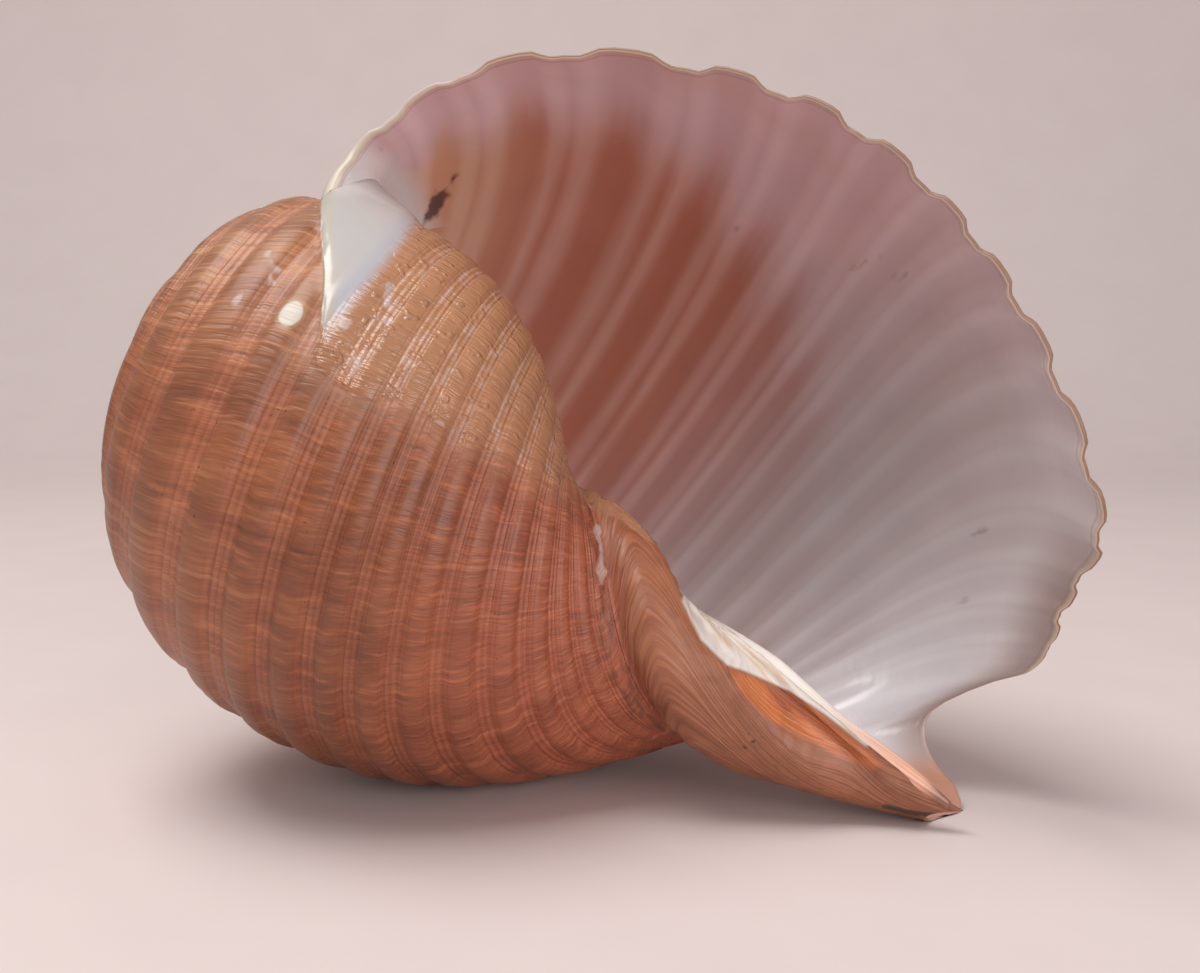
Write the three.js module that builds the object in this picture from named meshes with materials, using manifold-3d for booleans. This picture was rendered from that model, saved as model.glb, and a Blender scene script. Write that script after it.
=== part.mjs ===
// Tun shell: a large, thin-walled, low-spired sea snail shell, lying on its
// side with the wide mouth turned up and forward.
// Millimetres, +Z up. The shell is one grown piece, so it is one solid.
//
// The wall is a growth spiral: one section curve (suture, shoulder, belly,
// neck, siphonal band, tip) turns about the coiling axis while it grows by a
// constant factor per turn. The lip is where that growth stopped.
import * as THREE from 'three';
import * as BufferGeometryUtils from 'three/addons/utils/BufferGeometryUtils.js';
import Module from 'manifold-3d';

// ---- driving dimensions -------------------------------------------------
const SIZE = 183.5;            // mm per unit of the section curve below
const GROW_R = 0.129095;       // radial growth per radian (2.25 times a turn)
const GROW_H = 0.111219;       // axial growth per radian (2.01 times a turn)
const PHASE = 1.5 * Math.PI;   // turn angle at which the section has scale 1
const WALL_LIP = 2.1;          // wall thickness behind the lip
const WALL_OLD = 1.6;          // wall thickness two turns earlier
const LIP_EDGE = 1.2;          // thickness of the lip's very edge
const JOINT_ANGLE = -1.70 * Math.PI;  // where the last turn takes over
const OLD_START = -3.60 * Math.PI;    // the hollow is closed before this
const FLARE = 2.4;             // the lip turns out by this much
const SHIFT = [-94.33, 7.32, 103.10]; // puts the origin under the box's middle, on the floor

// coiling axis (toward the siphonal tip) and the two directions square to it
const DIR_U = [0.530281, 0.448958, 0.719193];
const DIR_V = [0.039104, -0.860332, 0.508231];
const DIR_A = [0.846920, -0.241382, -0.473774];

// section curve: radius, height along the axis, turn angle of the lip / PI
const SECTION = [
  [0.1000, 0.1125, 0.190], [0.1077, 0.1033, 0.197], [0.1179, 0.0972, 0.202],
  [0.1384, 0.0980, 0.205], [0.1659, 0.1094, 0.205], [0.1943, 0.1299, 0.205],
  [0.2211, 0.1594, 0.199], [0.2416, 0.1937, 0.196], [0.2572, 0.2359, 0.195],
  [0.2667, 0.2849, 0.204], [0.2685, 0.3348, 0.220], [0.2627, 0.3844, 0.238],
  [0.2513, 0.4279, 0.246], [0.2337, 0.4693, 0.256], [0.2132, 0.5036, 0.270],
  [0.1918, 0.5313, 0.284], [0.1712, 0.5531, 0.287], [0.1527, 0.5699, 0.275],
  [0.1330, 0.5853, 0.229], [0.1123, 0.5993, 0.186], [0.0998, 0.6103, 0.153],
  [0.0890, 0.6248, 0.101], [0.0805, 0.6360, 0.040], [0.0800, 0.6479, -0.100],
  [0.0848, 0.6632, -0.245], [0.0864, 0.6831, -0.314], [0.0832, 0.7129, -0.368],
  [0.0735, 0.7434, -0.405], [0.0643, 0.7740, -0.480], [0.0503, 0.8093, -0.680],
  [0.0363, 0.8393, -0.800], [0.0224, 0.8692, -0.870], [0.0140, 0.8860, -0.885],
];
const NECK_ROW = 22;           // first row of the siphonal band

// columella: height, radius, sideways lean (same units as the section)
const PILLAR = [
  [0.30, 0.016, 0.000], [0.45, 0.024, 0.000], [0.60, 0.024, 0.000],
  [0.75, 0.021, 0.000], [0.85, 0.019, 0.000], [0.93, 0.014, 0.006],
  [1.00, 0.012, 0.012], [1.075, 0.008, 0.018],
];
const PILLAR_LEAN = 1.118 * Math.PI;

// ---- surface ------------------------------------------------------------
const smooth = (a, b, x) => {
  const t = Math.min(1, Math.max(0, (x - a) / (b - a)));
  return t * t * (3 - 2 * t);
};

// the siphonal band narrows a little just before the tip
function tuck(row, th) {
  const band = smooth(NECK_ROW, NECK_ROW + 5, row);
  return 1 - 0.13 * band * smooth(-0.97 * Math.PI, -0.66 * Math.PI, th);
}

function local(row, th) {
  const s = SECTION[row];
  const er = Math.exp(GROW_R * (th + PHASE)) * tuck(row, th);
  const eh = Math.exp(GROW_H * (th + PHASE));
  return new THREE.Vector3(
    er * s[0] * Math.cos(th) * SIZE, er * s[0] * Math.sin(th) * SIZE, eh * s[1] * SIZE);
}

function outward(row, th) {
  const a = local(Math.max(0, row - 1), th);
  const b = local(Math.min(SECTION.length - 1, row + 1), th);
  const c = local(row, th - 0.01);
  const d = local(row, th + 0.01);
  return d.sub(c).cross(b.sub(a)).normalize();
}

function flare(row, th) {
  const s = SECTION[row];
  const along = smooth(8, 12, row) * (1 - smooth(17, 21, row));
  const back = s[2] * Math.PI - th;
  return FLARE * along * Math.exp(-Math.max(0, back) / 0.28);
}

function wall(row, th) {
  const back = SECTION[row][2] * Math.PI - th;
  const old = Math.min(1, Math.max(0, back / (4 * Math.PI)));
  let w = WALL_LIP + (WALL_OLD - WALL_LIP) * old;
  w = LIP_EDGE + (w - LIP_EDGE) * smooth(0, 0.35, back);
  const r = SECTION[row][0] * Math.exp(GROW_R * (th + PHASE)) * SIZE;
  return Math.min(w, 0.55 * r);
}

function toWorld(p) {
  return new THREE.Vector3(
    DIR_U[0] * p.x + DIR_V[0] * p.y + DIR_A[0] * p.z + SHIFT[0],
    DIR_U[1] * p.x + DIR_V[1] * p.y + DIR_A[1] * p.z + SHIFT[1],
    DIR_U[2] * p.x + DIR_V[2] * p.y + DIR_A[2] * p.z + SHIFT[2]);
}

// ---- closed meshes ------------------------------------------------------
class MeshMaker {
  constructor() { this.pos = []; this.tri = []; }
  point(p) {
    const w = toWorld(p);
    this.pos.push(w.x, w.y, w.z);
    return this.pos.length / 3 - 1;
  }
  quad(a, b, c, d) { this.tri.push(a, b, c, a, c, d); }
  geometry() {
    const g = new THREE.BufferGeometry();
    g.setAttribute('position', new THREE.Float32BufferAttribute(this.pos, 3));
    g.setIndex(this.tri);
    return g;
  }
}

// a stretch of the wall as a thin closed solid
function wallSolid(rows, from, to, steps, inset) {
  const m = new MeshMaker();
  const out = [], inn = [];
  for (let i = 0; i <= steps; i++) {
    const o = [], n = [];
    for (const row of rows) {
      const end = to === null ? SECTION[row][2] * Math.PI : to;
      const th = from + (end - from) * i / steps;
      const p = local(row, th), q = outward(row, th);
      p.addScaledVector(q, flare(row, th) - inset);
      o.push(m.point(p));
      n.push(m.point(p.clone().addScaledVector(q, -Math.max(0.5, wall(row, th) - 2 * inset))));
    }
    out.push(o); inn.push(n);
  }
  const last = rows.length - 1;
  for (let i = 0; i < steps; i++) {
    for (let j = 0; j < last; j++) {
      m.quad(out[i][j], out[i + 1][j], out[i + 1][j + 1], out[i][j + 1]);
      m.quad(inn[i][j], inn[i][j + 1], inn[i + 1][j + 1], inn[i + 1][j]);
    }
    m.quad(out[i][0], inn[i][0], inn[i + 1][0], out[i + 1][0]);
    m.quad(out[i][last], out[i + 1][last], inn[i + 1][last], inn[i][last]);
  }
  for (let j = 0; j < last; j++) {
    m.quad(out[0][j], out[0][j + 1], inn[0][j + 1], inn[0][j]);
    m.quad(out[steps][j], inn[steps][j], inn[steps][j + 1], out[steps][j + 1]);
  }
  return m.geometry();
}

// an early turn, solid down to the axis
function coreSolid(rows, from, to, steps, inset) {
  const m = new MeshMaker();
  const rings = [];
  for (let i = 0; i <= steps; i++) {
    const th = from + (to - from) * i / steps;
    const ring = [];
    for (const row of rows) {
      const p = local(row, th);
      p.addScaledVector(outward(row, th), -inset);
      ring.push(m.point(p));
    }
    const er = Math.exp(GROW_R * (th + PHASE)) * SIZE;
    const eh = Math.exp(GROW_H * (th + PHASE)) * SIZE;
    for (const [r, h] of [[0.004, 0.80], [0.004, 0.45], [0.004, 0.20]]) {
      ring.push(m.point(new THREE.Vector3(er * r * Math.cos(th), er * r * Math.sin(th), eh * h)));
    }
    rings.push(ring);
  }
  const n = rings[0].length;
  for (let i = 0; i < steps; i++) {
    for (let j = 0; j < n; j++) {
      const k = (j + 1) % n;
      m.quad(rings[i][j], rings[i + 1][j], rings[i + 1][k], rings[i][k]);
    }
  }
  // flat ends, triangulated in the section's own plane
  const outline = [];
  for (const row of rows) outline.push(new THREE.Vector2(SECTION[row][0], SECTION[row][1]));
  for (const [r, h] of [[0.004, 0.80], [0.004, 0.45], [0.004, 0.20]]) outline.push(new THREE.Vector2(r, h));
  for (const [a, b, c] of THREE.ShapeUtils.triangulateShape(outline, [])) {
    m.tri.push(rings[0][a], rings[0][b], rings[0][c]);
    m.tri.push(rings[steps][a], rings[steps][c], rings[steps][b]);
  }
  return m.geometry();
}

function pillarSolid(sides) {
  const m = new MeshMaker();
  const rings = PILLAR.map(([h, r, lean]) => {
    const ring = [];
    for (let k = 0; k < sides; k++) {
      const a = 2 * Math.PI * k / sides;
      ring.push(m.point(new THREE.Vector3(
        (lean * Math.cos(PILLAR_LEAN) + r * Math.cos(a)) * SIZE,
        (lean * Math.sin(PILLAR_LEAN) + r * Math.sin(a)) * SIZE, h * SIZE)));
    }
    return ring;
  });
  for (let i = 0; i + 1 < rings.length; i++) {
    for (let k = 0; k < sides; k++) {
      const n = (k + 1) % sides;
      m.quad(rings[i][k], rings[i][n], rings[i + 1][n], rings[i + 1][k]);
    }
  }
  const top = rings[rings.length - 1];
  for (let k = 1; k + 1 < sides; k++) {
    m.tri.push(rings[0][0], rings[0][k + 1], rings[0][k]);
    m.tri.push(top[0], top[k], top[k + 1]);
  }
  return m.geometry();
}

function apexBall(radius) {
  const g = new THREE.SphereGeometry(radius, 10, 7);
  const c = toWorld(new THREE.Vector3(0, 0, 0.012 * SIZE));
  g.translate(c.x, c.y, c.z);
  return g;
}

// ---- join -----------------------------------------------------------------
const wasm = await Module();
wasm.setup();

function solid(geometry) {
  let g = geometry.clone();
  g.deleteAttribute('normal');
  g.deleteAttribute('uv');
  g = BufferGeometryUtils.mergeVertices(g, 1e-4);
  const made = new wasm.Manifold(new wasm.Mesh({
    numProp: 3,
    vertProperties: new Float32Array(g.attributes.position.array),
    triVerts: new Uint32Array(g.index.array),
  }));
  return made;
}

function meshOf(manifold) {
  const mesh = manifold.getMesh();
  const g = new THREE.BufferGeometry();
  g.setAttribute('position', new THREE.Float32BufferAttribute(mesh.vertProperties, 3));
  g.setIndex(new THREE.Uint32BufferAttribute(mesh.triVerts, 1));
  g.computeVertexNormals();
  return g;
}

const every = SECTION.map((_, i) => i);
const coarse = every.filter((i) => i < 4 || i % 3 === 0 || i === SECTION.length - 1);

const lastTurn = solid(wallSolid(every, JOINT_ANGLE, null, 36, 0));
const prevTurn = solid(wallSolid(coarse, OLD_START, JOINT_ANGLE + 0.06, 20, 0.3));
const earlyTurn = solid(coreSolid(coarse, OLD_START - 1.96 * Math.PI, OLD_START + 0.06, 16, 0.25));
const firstTurn = solid(coreSolid(coarse.filter((i) => i < 3 || i % 2 === 0),
  OLD_START - 3.9 * Math.PI, OLD_START - 1.93 * Math.PI, 10, 0.25));
const pillar = solid(pillarSolid(12));
const apex = solid(apexBall(2.6));

const below = new THREE.BoxGeometry(600, 600, 60);
below.translate(0, 0, -30);

const body = lastTurn.add(prevTurn).add(earlyTurn).add(firstTurn).add(pillar).add(apex)
  .subtract(solid(below));

const shell = new THREE.Mesh(meshOf(body), new THREE.MeshStandardMaterial({
  color: 0xb0825f, roughness: 0.42, metalness: 0,
}));
shell.name = 'shell';

const group = new THREE.Group();
group.add(shell);

export default group;
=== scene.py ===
import bpy
import math
import numpy as np
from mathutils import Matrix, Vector

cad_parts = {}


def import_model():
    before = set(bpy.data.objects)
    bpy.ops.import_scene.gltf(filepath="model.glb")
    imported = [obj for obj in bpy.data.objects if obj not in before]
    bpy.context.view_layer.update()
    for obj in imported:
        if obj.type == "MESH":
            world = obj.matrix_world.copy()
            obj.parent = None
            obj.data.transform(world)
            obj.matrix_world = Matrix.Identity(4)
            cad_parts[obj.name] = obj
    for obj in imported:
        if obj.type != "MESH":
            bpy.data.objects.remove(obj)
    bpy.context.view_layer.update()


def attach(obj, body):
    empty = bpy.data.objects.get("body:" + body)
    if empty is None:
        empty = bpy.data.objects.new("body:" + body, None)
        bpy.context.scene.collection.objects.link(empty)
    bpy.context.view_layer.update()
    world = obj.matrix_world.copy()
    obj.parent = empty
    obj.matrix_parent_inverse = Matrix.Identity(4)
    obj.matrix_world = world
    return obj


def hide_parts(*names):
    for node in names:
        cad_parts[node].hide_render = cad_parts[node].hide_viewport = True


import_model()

PI = math.pi

# ---------------------------------------------------------------- dimensions
SIZE = 0.1835                  # metres per unit of the section curve
KR, KH = 0.129095, 0.111219    # growth per radian, radial and axial
PHASE = 1.5 * PI
SHIFT = np.array([-0.09433, 0.00732, 0.10310])
DIR = np.array([[0.530281, 0.448958, 0.719193],
                [0.039104, -0.860332, 0.508231],
                [0.846920, -0.241382, -0.473774]])   # rows: u, v, coiling axis
CAM = np.array([0.00538, -0.33900, 0.10404])
PITCH = math.radians(7.0)
LENS_PX = 1600.0

# section curve: arc length, radius, height, turn angle of the lip / pi
SEC = np.array([
    [0.0000, 0.1000, 0.1125, 0.300], [0.0120, 0.1077, 0.1033, 0.288],
    [0.0240, 0.1179, 0.0972, 0.255], [0.0450, 0.1384, 0.0980, 0.216],
    [0.0750, 0.1659, 0.1094, 0.205], [0.1100, 0.1943, 0.1299, 0.203],
    [0.1500, 0.2211, 0.1594, 0.199], [0.1900, 0.2416, 0.1937, 0.196],
    [0.2350, 0.2572, 0.2359, 0.195], [0.2850, 0.2667, 0.2849, 0.204],
    [0.3350, 0.2685, 0.3348, 0.220], [0.3850, 0.2627, 0.3844, 0.238],
    [0.4300, 0.2513, 0.4279, 0.246], [0.4750, 0.2337, 0.4693, 0.256],
    [0.5150, 0.2132, 0.5036, 0.270], [0.5500, 0.1918, 0.5313, 0.284],
    [0.5800, 0.1712, 0.5531, 0.287], [0.6050, 0.1527, 0.5699, 0.275],
    [0.6300, 0.1330, 0.5853, 0.229], [0.6550, 0.1123, 0.5993, 0.186],
    [0.6720, 0.0998, 0.6103, 0.153], [0.6900, 0.0890, 0.6248, 0.101],
    [0.7040, 0.0805, 0.6360, 0.040], [0.7160, 0.0800, 0.6479, -0.100],
    [0.7320, 0.0848, 0.6632, -0.245], [0.7520, 0.0864, 0.6831, -0.314],
    [0.7820, 0.0832, 0.7129, -0.368], [0.8140, 0.0735, 0.7434, -0.405],
    [0.8460, 0.0643, 0.7740, -0.480], [0.8840, 0.0503, 0.8093, -0.680],
    [0.9170, 0.0363, 0.8393, -0.800], [0.9500, 0.0224, 0.8692, -0.870],
    [0.9689, 0.0140, 0.8860, -0.885]])
S0, S1 = 0.0100, 0.9689
# grooves between the broad spiral ribs, along the section curve
GROOVES = np.array([-0.004, 0.030, 0.070, 0.120, 0.1834, 0.2590, 0.3157, 0.3654, 0.4097,
                    0.4470, 0.4838, 0.5233, 0.5657, 0.6047, 0.6370, 0.6612, 0.6857, 0.7100])
# shape of the growth lines: how far they fall back along the section
LAG_S = np.array([0.0, 0.15, 0.30, 0.41, 0.50, 0.63, 0.69, 0.712, 0.735, 0.76, 0.785, 0.81, 0.84, 0.87, 0.97])
LAG_T = np.array([0.03, 0.0, -0.06, -0.085, -0.11, -0.17, -0.22, -0.30, -0.46, -0.56, -0.53, -0.40, -0.14, 0.10, 0.55]) * PI


# ---------------------------------------------------------------- small tools
def smooth(a, b, x):
    t = np.clip((np.asarray(x, float) - a) / (b - a), 0, 1)
    return t * t * (3 - 2 * t)


def spline(xs, ys):
    """Natural cubic spline."""
    n = len(xs)
    h = np.diff(xs)
    a = np.zeros((n, n))
    b = np.zeros(n)
    a[0, 0] = a[-1, -1] = 1
    for i in range(1, n - 1):
        a[i, i - 1], a[i, i], a[i, i + 1] = h[i - 1], 2 * (h[i - 1] + h[i]), h[i]
        b[i] = 6 * ((ys[i + 1] - ys[i]) / h[i] - (ys[i] - ys[i - 1]) / h[i - 1])
    m = np.linalg.solve(a, b)

    def f(x):
        x = np.clip(np.asarray(x, float), xs[0], xs[-1])
        k = np.clip(np.searchsorted(xs, x) - 1, 0, n - 2)
        d = xs[k + 1] - xs[k]
        p = (xs[k + 1] - x) / d
        q = 1 - p
        return p * ys[k] + q * ys[k + 1] + ((p ** 3 - p) * m[k] + (q ** 3 - q) * m[k + 1]) * d * d / 6
    return f


def pchip(xs, ys):
    """Shape-keeping cubic through the points."""
    h = np.diff(xs)
    s = np.diff(ys) / h
    d = np.zeros(len(xs))
    for i in range(1, len(xs) - 1):
        if s[i - 1] * s[i] > 0:
            w1, w2 = 2 * h[i] + h[i - 1], h[i] + 2 * h[i - 1]
            d[i] = (w1 + w2) / (w1 / s[i - 1] + w2 / s[i])
    d[0], d[-1] = s[0], s[-1]

    def f(x):
        x = np.clip(np.asarray(x, float), xs[0], xs[-1])
        k = np.clip(np.searchsorted(xs, x) - 1, 0, len(xs) - 2)
        t = (x - xs[k]) / h[k]
        return ((2 * t ** 3 - 3 * t ** 2 + 1) * ys[k] + (t ** 3 - 2 * t ** 2 + t) * h[k] * d[k]
                + (-2 * t ** 3 + 3 * t ** 2) * ys[k + 1] + (t ** 3 - t ** 2) * h[k] * d[k + 1])
    return f


sec_r = spline(SEC[:, 0], SEC[:, 1])
sec_h = spline(SEC[:, 0], SEC[:, 2])
lip_at = pchip(SEC[:, 0], SEC[:, 3] * PI)
lag_at = pchip(LAG_S, LAG_T)


def pixel(w):
    """Where a point of the shell shows in the photograph's frame."""
    v = w - CAM
    c, s = math.cos(PITCH), math.sin(PITCH)
    z = v[..., 1] * c - v[..., 2] * s
    y = -(v[..., 1] * s + v[..., 2] * c)
    return 600 + LENS_PX * v[..., 0] / z, 486.5 + LENS_PX * y / z


def poly_distance(px, py, poly):
    """Signed distance to a closed outline, positive inside."""
    poly = np.array(poly, float)
    best = np.full(px.shape, 1e9)
    inside = np.zeros(px.shape, bool)
    n = len(poly)
    for i in range(n):
        (x0, y0), (x1, y1) = poly[i], poly[(i + 1) % n]
        dx, dy = x1 - x0, y1 - y0
        t = np.clip(((px - x0) * dx + (py - y0) * dy) / (dx * dx + dy * dy), 0, 1)
        best = np.minimum(best, np.hypot(px - x0 - t * dx, py - y0 - t * dy))
        if y0 != y1:
            cross = ((y0 > py) != (y1 > py)) & (px < dx * (py - y0) / dy + x0)
            inside ^= cross
    return np.where(inside, best, -best)


# ---------------------------------------------------------------- surface
def rib_phase(s):
    """Counts ribs along the section: a groove sits at each whole number."""
    return np.interp(s, GROOVES, np.arange(len(GROOVES)))


def rib_height(s, riblets=1.0):
    c = rib_phase(s)
    x = np.abs(c - np.round(c))
    rib = smooth(0.12, 0.34, x) * (0.88 + 0.12 * np.sin(PI * np.clip(x * 2, 0, 1) / 2))
    small = 0.24 * riblets * np.exp(-((x - 0.07) / 0.030) ** 2)
    return rib + small * (1 - rib)


def rib_soft(s):
    c = rib_phase(s)
    return smooth(0.03, 0.36, np.abs(c - np.round(c)))


def rib_ease(th, s, px, py):
    """Ribs lie low under the mouth's glaze."""
    gz = np.where((th > -2.1 * PI) & (th < -1.30 * PI) & (s > 0.18) & (s < 0.78), poly_distance(px, py, GLAZE) / 20.0, -3.0)
    gz = np.where((th < -1.66 * PI) & (s > 0.21), 3.0, gz)
    return 1 - 0.62 * smooth(-1.6, 1.0, gz)


def rib_amount(s):
    k = np.clip(np.searchsorted(GROOVES, s) - 1, 0, len(GROOVES) - 2)
    mid = (GROOVES[:-1] + GROOVES[1:]) / 2
    width = np.interp(s, mid, np.diff(GROOVES))
    return np.minimum(0.155 * width, 0.0077) * (0.65 + 0.35 * smooth(0.10, 0.26, s)) * smooth(0.012, 0.06, s) * (1 - smooth(0.675, 0.705, s))


def band_edge(th):
    """Where the siphonal band ends and the chink by the columella begins."""
    return np.interp(th / PI, [-1.50, -1.454, -1.363, -1.338, -1.314, -1.23, -1.06],
                     [0.803, 0.804, 0.812, 0.827, 0.838, 0.846, 0.866])


def macro(th, s):
    """The shell's middle shape, before ribs: shell frame, section units."""
    r, h = sec_r(s), sec_h(s)
    band = smooth(0.704, 0.79, s)
    r = r * (1 - 0.13 * band * smooth(-0.97 * PI, -0.66 * PI, th))
    edge = band_edge(th)
    open_chink = smooth(0, 1, (s - edge) / 0.030) * (1 - smooth(0.885, 0.950, s))
    r = r - 0.024 * open_chink * (1 - smooth(-1.06 * PI, -0.84 * PI, th)) * smooth(-2.3 * PI, -1.7 * PI, th)
    r = np.maximum(r, 0.003)
    dr = (sec_r(s + 1e-3) - sec_r(s - 1e-3))
    dh = (sec_h(s + 1e-3) - sec_h(s - 1e-3))
    n = np.hypot(dr, dh) + 1e-9
    er, eh = np.exp(KR * (th + PHASE)), np.exp(KH * (th + PHASE))
    along = smooth(0.235, 0.40, s) * (1 - smooth(0.585, 0.67, s))
    fl = 0.0131 * along * np.exp(-np.maximum(0, lip_at(s) - th) / 0.28)
    rr = er * r + fl * dh / n
    hh = eh * h - fl * dr / n
    hq = np.maximum(hh, 0.0)                              # the first turns lie low
    hh = np.where(hh > 0.3, hh, 0.5 * (hq + 0.028 * np.exp(-(hq / 0.045) ** 2)) + 0.5 * (hq ** 3 + 0.032 ** 3) ** (1 / 3))
    return np.stack([rr * np.cos(th), rr * np.sin(th), hh], -1)


def normal(th, s):
    a = macro(th + 4e-3, s) - macro(th - 4e-3, s)
    b = macro(th, np.minimum(s + 1.5e-3, S1)) - macro(th, s - 1.5e-3)
    n = np.cross(a, b)
    return n / (np.linalg.norm(n, axis=-1, keepdims=True) + 1e-12)


def world(p):
    return (p * SIZE) @ DIR + SHIFT


rng = np.random.default_rng(7)
BAND_G = np.sort(rng.uniform(-4.3 * PI, -0.03 * PI, 120))
BAND_A = rng.normal(0, 1, 120) * 0.00042
BAND_W = rng.uniform(0.020, 0.045, 120)


def outer_relief(th, s, ease):
    er = np.exp(KR * (th + PHASE))
    back = lip_at(s) - th
    d = (rib_height(s, smooth(0.02, 0.30, back)) - 0.5) * rib_amount(s) * np.minimum(er, er ** 0.3) * ease
    gl = th - lag_at(s)
    grow = np.zeros_like(gl)
    for g, a, w in zip(BAND_G, BAND_A, BAND_W):
        grow += a * np.exp(-((gl - g) / w) ** 2)
    d += grow * np.minimum(er, 1.2) * smooth(0.02, 0.05, s)
    d += 0.0010 * np.minimum(er, 1) * (np.sin(3.1 * gl + 9 * s) * 0.6 + np.sin(7.3 * gl - 14 * s + 1.0) * 0.4)
    # crescent growth ridges on the siphonal band
    on_band = smooth(0.715, 0.735, s) * (1 - smooth(0.83, 0.85, s))
    d += on_band * 0.0011 * np.sin(gl * 17 + 0.8 * np.sin(gl * 5))
    # the lip's last growth stops
    d += 0.0010 * smooth(0.06, 0.1, s) * (1 - smooth(0.62, 0.7, s)) * np.exp(-((back - 0.05) / 0.03) ** 2)
    return d


def wall(th, s):
    back = np.maximum(lip_at(s) - th, 0)
    w = 0.0109 + (0.0085 - 0.0109) * np.clip(back / (4 * PI), 0, 1)
    w = 0.0045 + (w - 0.0045) * smooth(0, 0.40, back)
    # the back end of the lip is thick and white
    w = w + 0.0056 * (1 - smooth(0.02, 0.13, s)) * (1 - smooth(0.0, 0.45, back))
    r = sec_r(s) * np.exp(KR * (th + PHASE))
    return np.minimum(w, 0.5 * r)


def inner_relief(th, s):
    back = np.maximum(lip_at(s) - th, 0)
    er = np.exp(KR * (th + PHASE))
    f = 0.92 - 0.45 * smooth(0.05, 1.2, back)
    c = rib_phase(s)
    x = np.abs(c - np.round(c))
    soft = smooth(0.04, 0.42, x) - 0.5
    edge = (rib_height(s, 0.0) - 0.5)
    mix = smooth(0.0, 0.35, back)
    return (edge * (1 - mix) + soft * mix) * rib_amount(s) * f * er ** 0.3


def lip_wave(g, s):
    """Ribs run a little ahead at the lip's edge."""
    c = rib_phase(s)
    x = np.abs(c - np.round(c))
    return 0.016 * (rib_soft(s) - 0.6 + 0.5 * np.exp(-(x / 0.075) ** 2)) * smooth(0.08, 0.14, s) * (1 - smooth(0.66, 0.70, s)) * np.exp(np.minimum(g, 0) / 0.09)


# the white callus where the lip joins the body, in the photograph's frame
CAL_LEFT = np.array([(321, 199), (320, 225), (322, 250), (324, 272), (323, 300), (321, 322), (324, 341)], float)
CHINK = [(727, 666), (745, 672), (768, 682), (790, 692), (822, 713), (848, 733), (868, 749), (886, 766), (874, 771),
         (850, 764), (822, 750), (795, 736), (770, 722), (750, 708), (736, 690)]
WHITE_BAND = [(680, 600), (700, 640), (715, 655), (727, 666), (745, 672), (768, 682), (790, 692), (822, 713), (848, 733),
              (868, 749), (884, 740), (860, 690), (780, 620), (700, 560)]
GLAZE = [(322, 330), (311, 365), (345, 390), (395, 400), (430, 420), (500, 452), (556, 486), (566, 480),
         (600, 470), (600, 300), (480, 180), (380, 180)]


def callus_field(px, py, th, s):
    """How far right of the callus's sharp left edge, and how far above its soft slanting one."""
    left = (px - np.interp(py, CAL_LEFT[:, 1], CAL_LEFT[:, 0])) / 10.0
    right = ((px - 324) * -133 + (py - 341) * -112) / 1739.0
    on = (th > -1.98 * PI) & (th < -1.40 * PI) & (s > 0.17) & (s < 0.42)
    left = left - 9.0 * smooth(0.214, 0.206, s) * smooth(-1.69 * PI, -1.72 * PI, th)
    return np.where(on, left, -9.0), np.where(on, right, -9.0)


# ---------------------------------------------------------------- the mesh
class Loft:
    def __init__(self):
        self.co, self.th, self.s, self.side, self.tri, self.quad = [], [], [], [], [], []
        self.tri_in, self.quad_in = [], []
        self.n = 0

    def add(self, p, th, s, side):
        k = np.arange(self.n, self.n + len(p))
        self.co.append(p)
        self.th.append(np.broadcast_to(th, len(p)))
        self.s.append(np.broadcast_to(s, len(p)))
        self.side.append(np.full(len(p), side, float))
        self.n += len(p)
        return k

    def stitch(self, a, pa, b, pb):
        if len(a) == len(b) and np.allclose(pa, pb):
            self.quad.append(np.stack([a[:-1], b[:-1], b[1:], a[1:]], -1))
            return
        i = j = 0
        out = []
        while i < len(a) - 1 or j < len(b) - 1:
            if j == len(b) - 1 or (i < len(a) - 1 and pa[i + 1] <= pb[j + 1]):
                out.append((a[i], b[j], a[i + 1]))
                i += 1
            else:
                out.append((a[i], b[j], b[j + 1]))
                j += 1
        self.tri.append(np.array(out))


def columns(fracs, tail):
    s = []
    for k in range(len(GROOVES) - 1):
        for f in fracs:
            s.append(GROOVES[k] + f * (GROOVES[k + 1] - GROOVES[k]))
    s = np.array(s + list(tail))
    s = s[(s > S0 + 1e-4) & (s < S1 - 1e-4)]
    s = np.unique(np.round(np.r_[S0, 0.0145, s, S1], 5))
    keep = np.r_[True, np.diff(s) > 6e-4]
    return s[keep]


tail = np.linspace(0.7125, S1, 38)
FULL = columns([0, 0.07, 0.13, 0.20, 0.29, 0.40, 0.5, 0.60, 0.71, 0.80, 0.87, 0.93], tail)
FULL = FULL[(FULL <= 0.7105) | np.isin(np.round(FULL, 5), np.round(tail, 5)) | (FULL == S1)]
OLD = np.unique(np.r_[FULL[FULL < 0.245], FULL[FULL >= 0.245][::6], S1])
INN = columns([0, 0.13, 0.31, 0.5, 0.69, 0.87], np.linspace(0.7125, S1, 24))
INN_OLD = np.r_[S0, np.linspace(0.03, 0.94, 18), S1]

g_out = np.unique(np.r_[np.linspace(-10.4 * PI, -6 * PI, 56), np.linspace(-6 * PI, -2.12 * PI, 120),
                        np.linspace(-2.12 * PI, -0.05 * PI, 234), -0.05 * PI * (1 - np.linspace(0, 1, 10) ** 0.7)])
g_inn = np.unique(np.r_[np.linspace(-10.4 * PI, -2.3 * PI, 50), np.linspace(-2.3 * PI, -0.34 * PI, 92), np.linspace(-0.34 * PI, -0.05 * PI, 44),
                        -0.05 * PI * (1 - np.linspace(0, 1, 8) ** 0.7)])

m = Loft()


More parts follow.
